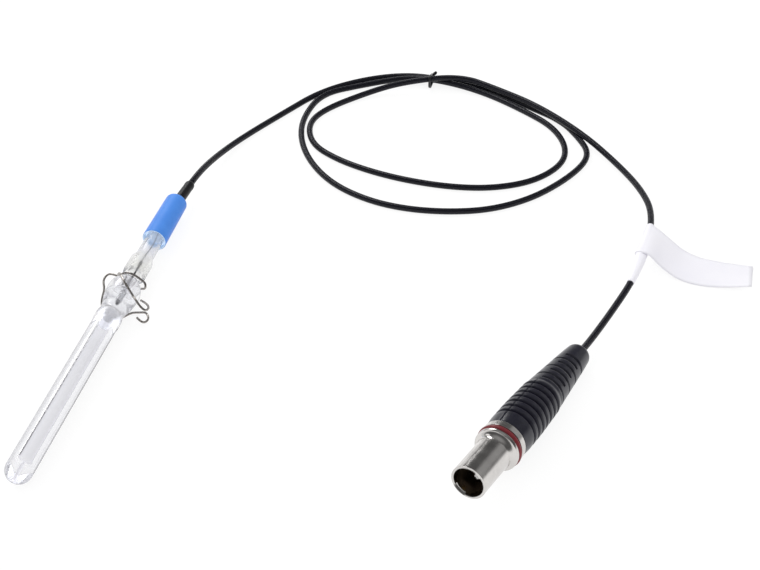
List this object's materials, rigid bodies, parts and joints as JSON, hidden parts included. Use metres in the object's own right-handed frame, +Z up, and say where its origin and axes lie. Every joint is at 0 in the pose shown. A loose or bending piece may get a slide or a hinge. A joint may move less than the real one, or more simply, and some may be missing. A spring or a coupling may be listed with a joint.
{
  "type": "ph electrode",
  "caption": "Glass laboratory electrode in a ground-joint bridge vessel held by a wire clip, with a moulded cap, a looped and tied cable and a coaxial plug.",
  "frame": {"origin": "on the axis of the glass shaft, where the shaft meets its collar", "axes": "+Y along the electrode from tip to cap, +Z up from the table it lies on, +X to the right"},
  "size_m": [0.2927, 0.3528, 0.0235],
  "materials": {
    "clear_glass": "clear",
    "liquid": "clear",
    "ceramic": "matt",
    "dark_frit": "matt",
    "silver": "dull",
    "tinned_copper": "satin",
    "spring_steel": "drawn",
    "blue_plastic": "moulded",
    "pale_seal": "moulded",
    "black_rubber": "satin",
    "black_jacket": "satin",
    "black_plastic": "satin",
    "white_film": "film",
    "nickel": "satin plated",
    "red_rubber": "moulded",
    "white_plastic": "turned",
    "gilt": "plated"
  },
  "bodies": {
    "root": {"bridge_vessel": "clear_glass", "stem_glass": "clear_glass", "element_cartridge": "clear_glass", "bridge_electrolyte": "liquid", "bridge_junction": "ceramic", "element_tip": "dark_frit", "silver_wire": "silver", "wire_bead": "tinned_copper", "lead_wire": "tinned_copper", "joint_clip": "spring_steel", "head_cap": "blue_plastic", "head_seal": "pale_seal", "bend_sleeve": "black_rubber", "cable": "black_jacket", "cable_tie": "black_plastic", "cable_tag": "white_film", "tag_strip": "white_film", "plug_shell": "nickel", "plug_ring": "red_rubber", "plug_grip": "black_rubber", "plug_insulator": "white_plastic", "plug_pin": "gilt"}
  },
  "joints": []
}
